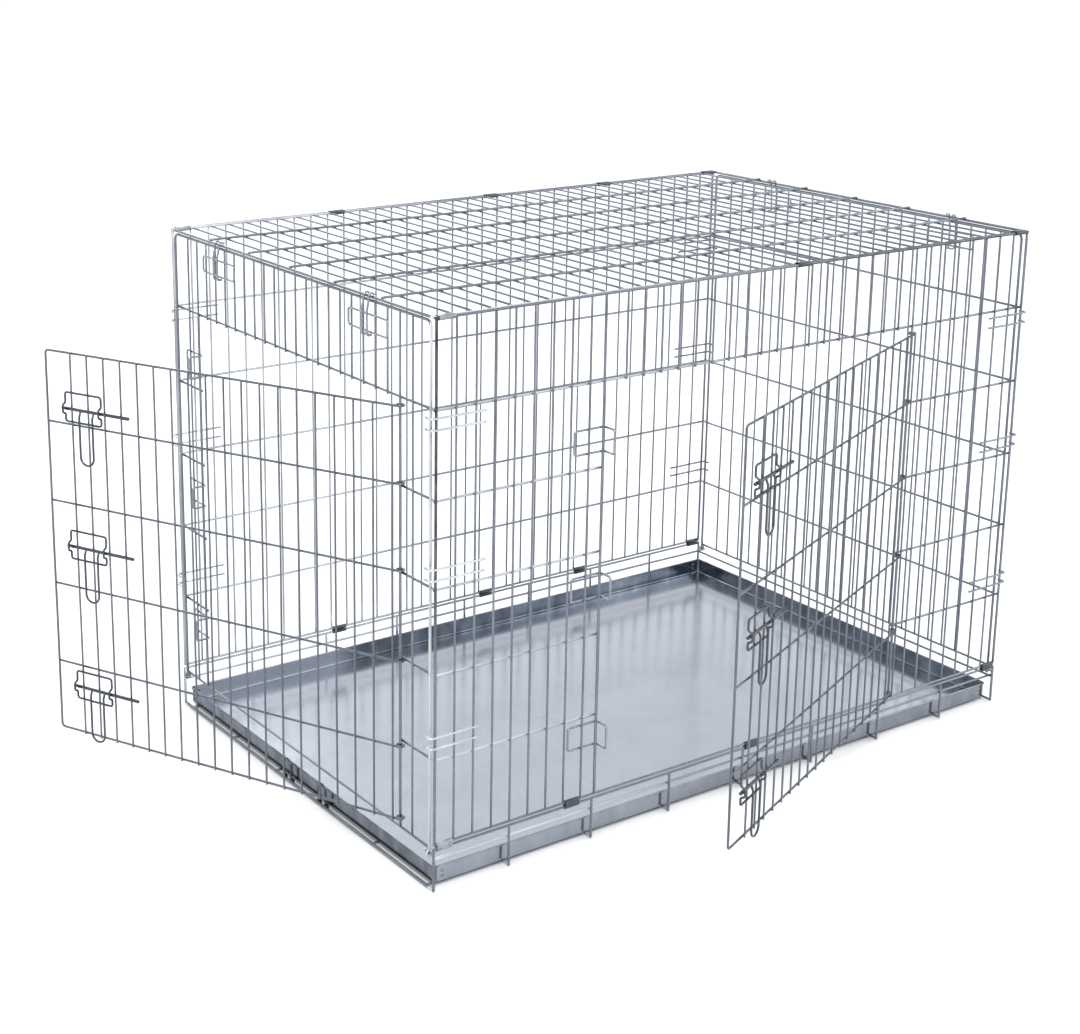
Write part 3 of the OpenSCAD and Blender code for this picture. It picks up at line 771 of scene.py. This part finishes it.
for name, place, x in (("left_front_clip", LEFT, CLIP_Y), ("left_back_clip", LEFT, -CLIP_Y),
                       ("right_front_clip", RIGHT, -CLIP_Y), ("right_back_clip", RIGHT, CLIP_Y)):
    clip = Wirework(place)
    path = []
    for side in (-1, 1):
        cx = x + side * CLIP_W / 2
        leg = ring_path((cx, 0, TOP_Z), CLIP_RING, 30, 180, IN, UP, 12)
        leg += rounded([(cx, -CLIP_RING, TOP_Z), (cx, -CLIP_RING, CLIP_TANGENT),
                        (cx, -CLIP_OUT, CLIP_SHOULDER), (cx, -CLIP_OUT, CLIP_FOOT),
                        (cx, -MM, CLIP_FOOT)], CLIP_BEND)[1:]
        path = leg if side < 0 else path + leg[::-1]
    clip.wire(path, CLIP_R)
    clip.made(name + "_hairpin", name, [name], BENT_ZINC, "bent_wire")

# ---- doors: x from the hinge to the free edge, y out of the cage ----

DOOR_TOP = 643 * MM
DOOR_FOOT = 74 * MM
KNUCKLE_R = 5 * MM
DOOR_FRAME_R = 1.7 * MM
DOOR_RAIL_R = 1.6 * MM
DOOR_BAR_R = 1.4 * MM
DOOR_SPACES = 18
FIRST_BAR = 7 * MM
BAR_PAST = 1.6 * MM
EDGE_CELL = 46 * MM
RAIL_END = 2.5 * MM
DOOR_CORNER = 6 * MM
DOOR_RAILS = (178 * MM, 298 * MM, 423 * MM, 540 * MM)
DOOR_BAR_Y = KNUCKLE_R + DOOR_RAIL_R + DOOR_BAR_R - WELD
DOOR_FACE = DOOR_BAR_Y + DOOR_BAR_R
ROD_R = 2.4 * MM
ROD_Y = DOOR_FACE + 0.5 * MM + ROD_R
ROD_L = 115 * MM
ROD_REACH = 66 * MM
GUIDE_W = 63 * MM
GUIDE_UP, GUIDE_DOWN = 23 * MM, 19 * MM
GUIDE_BEND = 4 * MM
BULGE_FOOT, BULGE_TOP = 8 * MM, 5.5 * MM
GUIDE_Y = DOOR_FACE + HOOK_R - WELD
BULGE_Y = ROD_Y + ROD_R + 0.5 * MM + HOOK_R
FINGER_Y = GUIDE_Y + 2 * HOOK_R + 1.8 * MM
FINGER_W = 23 * MM
FINGER_DROP = 66 * MM
FINGER_FROM = 12 * MM
FINGER_START = 9 * MM
FINGER_BEND = 6 * MM


def door_place(joint, closed_turn):
    """The door's own frame, from its hinge's place and how far it stands ajar."""
    x, y, _ = joints[joint]["pos_m"]
    ajar = -joints[joint]["range_deg"][0]
    return turned(x, y, closed_turn + ajar)


def guide_side(x, z):
    """The side of a bolt's guide, bulging out over the rod."""
    return [(x, GUIDE_Y, z + BULGE_FOOT), (x, BULGE_Y, z + BULGE_TOP),
            (x, BULGE_Y, z - BULGE_TOP), (x, GUIDE_Y, z - BULGE_FOOT)]


def door(prefix, body, place, width, guide_from):
    """A door's wires, its bolts' guides and the bolts; guide_from is from the free edge."""
    last = width - EDGE_CELL
    start = last + RAIL_END
    xs = [FIRST_BAR + k * (last - FIRST_BAR) / DOOR_SPACES for k in range(DOOR_SPACES + 1)]
    grid = Wirework(place)
    bars(grid, xs, DOOR_FOOT - BAR_PAST, DOOR_TOP + BAR_PAST, DOOR_BAR_R, DOOR_BAR_Y)
    edge = Wirework(place)
    for z in [DOOR_FOOT, *DOOR_RAILS, DOOR_TOP]:
        radius = DOOR_FRAME_R if z in (DOOR_FOOT, DOOR_TOP) else DOOR_RAIL_R
        path = ring_path((0, 0, z), KNUCKLE_R, 360, 90, ALONG, IN, 18)
        grid.wire(path + [(start, KNUCKLE_R, z)], radius)
        for x in xs:
            grid.spot((x, (KNUCKLE_R + DOOR_BAR_Y) / 2, z), ALONG, UP, IN, SMALL_WELD)
    edge.wire(rounded([(start, KNUCKLE_R, DOOR_FOOT), (width, KNUCKLE_R, DOOR_FOOT),
                       (width, KNUCKLE_R, DOOR_TOP), (start, KNUCKLE_R, DOOR_TOP)], DOOR_CORNER),
              DOOR_FRAME_R)
    for z in DOOR_RAILS:
        edge.wire([(start, KNUCKLE_R, z), (width, KNUCKLE_R, z)], DOOR_RAIL_R)
    grid.made(prefix + "_door_wires", body, [prefix + "_door_grid"], DOOR_ZINC, "panel_wire")
    edge.made(prefix + "_door_free_edge", body, [prefix + "_door_edge"], DOOR_ZINC, "panel_wire")

    guides = Wirework(place)
    a, b = width - guide_from, width - guide_from + GUIDE_W
    for z in BOLT_Z:
        top_z, foot_z = z + GUIDE_UP, z - GUIDE_DOWN
        mid_top = ((a + b) / 2, GUIDE_Y, top_z)
        path = [mid_top, (a, GUIDE_Y, top_z), *guide_side(a, z), (a, GUIDE_Y, foot_z),
                (b, GUIDE_Y, foot_z), *guide_side(b, z)[::-1], (b, GUIDE_Y, top_z), mid_top]
        guides.wire(rounded(path, GUIDE_BEND)[:-1], HOOK_R, closed=True)
    guides.made(prefix + "_door_guides", body, [prefix + "_bolt_guides"], BOLT_ZINC, "bolt_wire")

    for which, z in zip(("top", "middle", "bottom"), BOLT_Z):
        bolt = Wirework(place)
        tip = a + ROD_REACH
        bolt.wire([(tip - ROD_L, ROD_Y, z), (tip + 0.6 * ROD_R, ROD_Y, z)], ROD_R)
        one = a + FINGER_FROM
        centre = (one + FINGER_W / 2, FINGER_Y, z - FINGER_DROP)
        left = rounded([(one, ROD_Y, z), (one, FINGER_Y, z - FINGER_START),
                        (one, FINGER_Y, z - FINGER_DROP)], FINGER_BEND)
        bow = ring_path(centre, FINGER_W / 2, 180, 360, ALONG, UP, 14)[1:-1]
        right_leg = [p + Vector((FINGER_W, 0, 0)) for p in left][::-1]
        bolt.wire(left + bow + right_leg, HOOK_R)
        name = f"{prefix}_bolt_{which}"
        bolt.made(name + "_rod", name, [name], BOLT_ZINC, "bolt_wire")


door("front", "front_door", door_place("front_door_swing", 180),
     width=586 * MM, guide_from=84 * MM)
door("end", "end_door", door_place("end_door_swing", 90),
     width=575 * MM, guide_from=100 * MM)

# ---- pan ----

PAN_L = 2 * (high("tray", "x") - MM)
PAN_W = 2 * (high("tray", "y") - MM)
PAN_Z = low("tray", "z")
PAN_TOP = high("tray", "z")
PAN_CORNER = 5 * MM
PAN_BEND = 3 * MM
HEM = 2.4 * MM
FLOOR_INSETS = (335, 300, 260, 220, 180, 140, 105, 75, 50, 30, 15, 7)  # mm from the edge
FLOOR_WAVE = 0.9 * MM  # how far the sheet's floor buckles
HEM_ROLL = 0.9 * MM
RIVET_X = PAN_L / 2 - 14 * MM
RIVET_Z = (PAN_Z + 9 * MM, PAN_Z + 17 * MM)


def pan_ring(grow, z, per_side=40, per_corner=5):
    """A rounded rectangle, grown from the pan's plan, as one loop of points."""
    hx, hy = PAN_L / 2 + grow, PAN_W / 2 + grow
    r = max(PAN_CORNER + grow, 0.5 * MM)
    loop = []
    corners = [(hx, hy, 0), (-hx, hy, 90), (-hx, -hy, 180), (hx, -hy, 270)]
    for k, (cx, cy, start) in enumerate(corners):
        inx, iny = cx - math.copysign(r, cx), cy - math.copysign(r, cy)
        arc = []
        for s in range(per_corner + 1):
            a = math.radians(start + 90 * s / per_corner)
            arc.append(Vector((inx + r * math.cos(a), iny + r * math.sin(a), z)))
        loop += arc
        nx, ny, nstart = corners[(k + 1) % 4]
        jx, jy = nx - math.copysign(r, nx), ny - math.copysign(r, ny)
        a = math.radians(nstart)
        end = Vector((jx + r * math.cos(a), jy + r * math.sin(a), z))
        loop += [arc[-1].lerp(end, s / per_side) for s in range(1, per_side)]
    return loop


def pan_mesh():
    """The pan's middle surface, from the middle of its floor out and up to the rolled hem."""
    half = SHEET / 2
    rings = []
    for inset in FLOOR_INSETS:
        rings.append(pan_ring(-inset * MM, PAN_Z + half))
    for k in range(5):
        a = math.radians(90 * k / 4)
        rings.append(pan_ring(-half - PAN_BEND * (1 - math.sin(a)),
                              PAN_Z + half + PAN_BEND * (1 - math.cos(a))))
    for share in (0.35, 0.7):
        rings.append(pan_ring(-half, PAN_Z + half + PAN_BEND
                              + share * (PAN_TOP - PAN_Z - PAN_BEND - HEM)))
    rings.append(pan_ring(-half, PAN_TOP - HEM))
    for k in range(7):
        a = math.radians(180 - 30 * k)
        rings.append(pan_ring(-half + (1 + math.cos(a)) * HEM_ROLL,
                              PAN_TOP - half - 0.45 * HEM + math.sin(a) * 0.35 * HEM))
    rings.append(pan_ring(1.3 * MM, PAN_TOP - HEM))
    verts = [v for ring in rings for v in ring]
    n, faces = len(rings[0]), []
    for r in range(len(rings) - 1):
        for s in range(n):
            t = (s + 1) % n
            faces.append([r * n + s, r * n + t, (r + 1) * n + t, (r + 1) * n + s])
    faces.append(list(range(n))[::-1])
    flat = len(FLOOR_INSETS) * n
    for i, v in enumerate(verts[:flat]):
        v.z += FLOOR_WAVE * noise.noise(v * 5.0) * min(1.0, (flat - i) / (3 * n)) ** 2
    mesh = bpy.data.meshes.new("pan_sheet")
    mesh.from_pydata(verts, [], faces)
    return mesh


pan = finished("galvanised_pan", pan_mesh(), "tray", ["tray"], PAN_ZINC)
gauge = pan.modifiers.new("gauge", "SOLIDIFY")
gauge.thickness, gauge.offset = SHEET, 0.0

RIVET_PROFILE = ((1.2, 0.9), (2.2, 0.6), (2.8, 0.25), (3.0, -0.1))  # radius and lift, mm
INNER_RIVET = 0.85  # a rivet's inner head to its outer head


def rivets():
    """Two rivets at each end of the pan's front and back, each with an outer and inner head."""
    verts, faces = [], []
    sides, rows = 16, len(RIVET_PROFILE)
    for sx in (-1, 1):
        for sy in (-1, 1):
            for z in RIVET_Z:
                for out in (1, -1):
                    face_y = PAN_W / 2 if out > 0 else PAN_W / 2 - SHEET
                    first = len(verts)
                    for radius, lift in RIVET_PROFILE:
                        for s in range(sides):
                            a = 2 * math.pi * s / sides
                            shrink = 1 if out > 0 else INNER_RIVET
                            verts.append(Vector((
                                sx * RIVET_X + shrink * radius * MM * math.cos(a),
                                sy * (face_y + out * lift * MM),
                                z + shrink * radius * MM * math.sin(a))))
                    tip = len(verts)
                    verts.append(Vector((sx * RIVET_X, sy * (face_y + out * MM), z)))
                    for s in range(sides):
                        t = (s + 1) % sides
                        fan = [tip, first + s, first + t]
                        faces.append(fan if sy * out > 0 else fan[::-1])
                        for r in range(rows - 1):
                            a, b = first + r * sides, first + (r + 1) * sides
                            quad = [a + s, b + s, b + t, a + t]
                            faces.append(quad if sy * out > 0 else quad[::-1])
                    end = first + (rows - 1) * sides
                    cap = [end + s for s in range(sides)]
                    faces.append(cap[::-1] if sy * out > 0 else cap)
    mesh = bpy.data.meshes.new("pan_rivets")
    mesh.from_pydata(verts, [], faces)
    return mesh


finished("pan_rivets", rivets(), "tray", ["tray_rivets"], RIVET_ZINC)

# ---- stops at the pan's end ----

STOP_R = 1.5 * MM
STOP_HALF = 10 * MM
STOP_RING = FRAME_R + 0.5 * MM + HOOK_R
STOP_LEG = 23 * MM

for node in ("tray_stop_front", "tray_stop_back"):
    stop = Wirework(Matrix.Translation((-END_X, middle(node, "y"), END_WIRE_Z)))
    for y in (-STOP_HALF, STOP_HALF):
        stop.wire(ring_path((0, y, 0), STOP_RING, -40, 110, ALONG, UP, 14), HOOK_R)
    bow = ring_path((0, 0, STOP_LEG), STOP_HALF, 0, 180, IN, UP, 14)
    stop.wire([(0, STOP_HALF, STOP_RING), *bow, (0, -STOP_HALF, STOP_RING)], STOP_R)
    stop.made(node + "_bail", node, [node], BOLT_ZINC, "bent_wire")

# ---- room, light and camera ----


ROOM_COLOUR, ROOM_STRENGTH = (0.97, 0.985, 1.0, 1), 1.25


def room():
    """The floor of the room, which is no part of the crate."""
    size = 60  # metres to each side
    mesh = bpy.data.meshes.new("floor")
    mesh.from_pydata([(-size, -size, 0), (size, -size, 0), (size, size, 0), (-size, size, 0)],
                     [], [(0, 1, 2, 3)])
    floor = bpy.data.objects.new("floor", mesh)
    bpy.context.scene.collection.objects.link(floor)
    paint = bpy.data.materials.new("floor_paint")
    paint.use_nodes = True
    shader = paint.node_tree.nodes["Principled BSDF"]
    shader.inputs["Base Color"].default_value = (0.86, 0.86, 0.86, 1)
    shader.inputs["Roughness"].default_value = 0.9
    shader.inputs["Specular IOR Level"].default_value = 0.2
    mesh.materials.append(paint)


def soft_light(name, at, towards, size, watts):
    data = bpy.data.lights.new(name, "AREA")
    data.shape, data.size, data.energy = "DISK", size, watts
    lamp = bpy.data.objects.new(name, data)
    lamp.location = at
    lamp.rotation_euler = (Vector(towards) - Vector(at)).to_track_quat("-Z", "Y").to_euler()
    bpy.context.scene.collection.objects.link(lamp)


def camera(at, azimuth, elevation, roll, lens, shift):
    """Azimuth is from +Y towards +X, elevation how far the view dips, roll to the left."""
    a, e, turn = (math.radians(v) for v in (azimuth, elevation, roll))
    ahead = Vector((math.sin(a) * math.cos(e), math.cos(a) * math.cos(e), -math.sin(e)))
    right = Vector((math.cos(a), -math.sin(a), 0))
    up = right.cross(ahead)
    right, up = (math.cos(turn) * right + math.sin(turn) * up,
                 -math.sin(turn) * right + math.cos(turn) * up)
    data = bpy.data.cameras.new("camera")
    data.lens, data.sensor_width = lens, 36
    data.shift_x, data.shift_y = shift
    cam = bpy.data.objects.new("camera", data)
    pose = Matrix((right, up, -ahead)).transposed().to_4x4()
    pose.translation = Vector(at)
    cam.matrix_world = pose
    bpy.context.scene.collection.objects.link(cam)
    bpy.context.scene.camera = cam


room()
soft_light("key", (-2.6, -3.2, 4.2), (0, 0, 0.3), 1.6, 150)
soft_light("fill", (3.6, -2.4, 2.6), (0, 0, 0.4), 2.6, 50)
soft_light("back", (0.5, 4.0, 3.2), (0, 0, 0.4), 2.6, 60)
world = bpy.data.worlds.new("world")
bpy.context.scene.world = world
world.use_nodes = True
world.node_tree.nodes["Background"].inputs[0].default_value = ROOM_COLOUR
world.node_tree.nodes["Background"].inputs[1].default_value = ROOM_STRENGTH
bpy.context.scene.view_settings.view_transform = "Standard"
camera((-1.8145, -2.2449, 1.2944), azimuth=34.717, elevation=14.198, roll=0.437,
       lens=64.47, shift=(0.074, -0.145))
